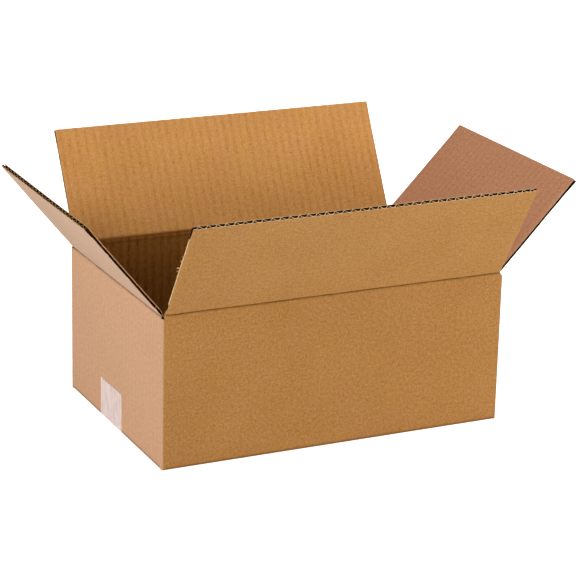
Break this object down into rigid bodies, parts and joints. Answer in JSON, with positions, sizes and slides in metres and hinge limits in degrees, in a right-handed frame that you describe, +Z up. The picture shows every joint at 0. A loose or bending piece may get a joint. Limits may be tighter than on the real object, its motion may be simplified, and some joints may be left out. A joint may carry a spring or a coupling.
{
  "type": "open cardboard box",
  "caption": "Slotted shipping carton of corrugated cardboard standing open, with hinged top flaps and a taped bottom.",
  "frame": {"origin": "centre of the box's footprint, on the floor", "axes": "+X along the length, from the left end to the right end; the front panel faces -Y; +Z up"},
  "size_m": [0.4506, 0.3139, 0.2245],
  "materials": {
    "kraft_board": "matt unbleached kraft liner",
    "kraft_board_pink": "matt unbleached kraft liner, lit a little pinker",
    "clear_tape": "clear packing tape, hazy with its adhesive"
  },
  "bodies": {
    "box": {"box_body": "kraft_board", "bottom_tape": "clear_tape"},
    "front_flap": {"front_flap": "kraft_board"},
    "back_flap": {"back_flap": "kraft_board"},
    "left_flap": {"left_flap": "kraft_board_pink"},
    "right_flap": {"right_flap": "kraft_board_pink"}
  },
  "joints": [
    {"name": "front_fold", "type": "hinge", "parent": "box", "child": "front_flap", "pos_m": [0, -0.1035, 0.1338], "axis": [-1, 0, 0], "range_deg": [-88.3, 121.7]},
    {"name": "back_fold", "type": "hinge", "parent": "box", "child": "back_flap", "pos_m": [0, 0.1035, 0.1338], "axis": [1, 0, 0], "range_deg": [-91.1, 118.9]},
    {"name": "left_fold", "type": "hinge", "parent": "box", "child": "left_flap", "pos_m": [-0.1565, 0, 0.1315], "axis": [0, 1, 0], "range_deg": [-80.2, 129.8]},
    {"name": "right_fold", "type": "hinge", "parent": "box", "child": "right_flap", "pos_m": [0.1565, 0, 0.1315], "axis": [0, -1, 0], "range_deg": [-75.4, 134.6]}
  ]
}
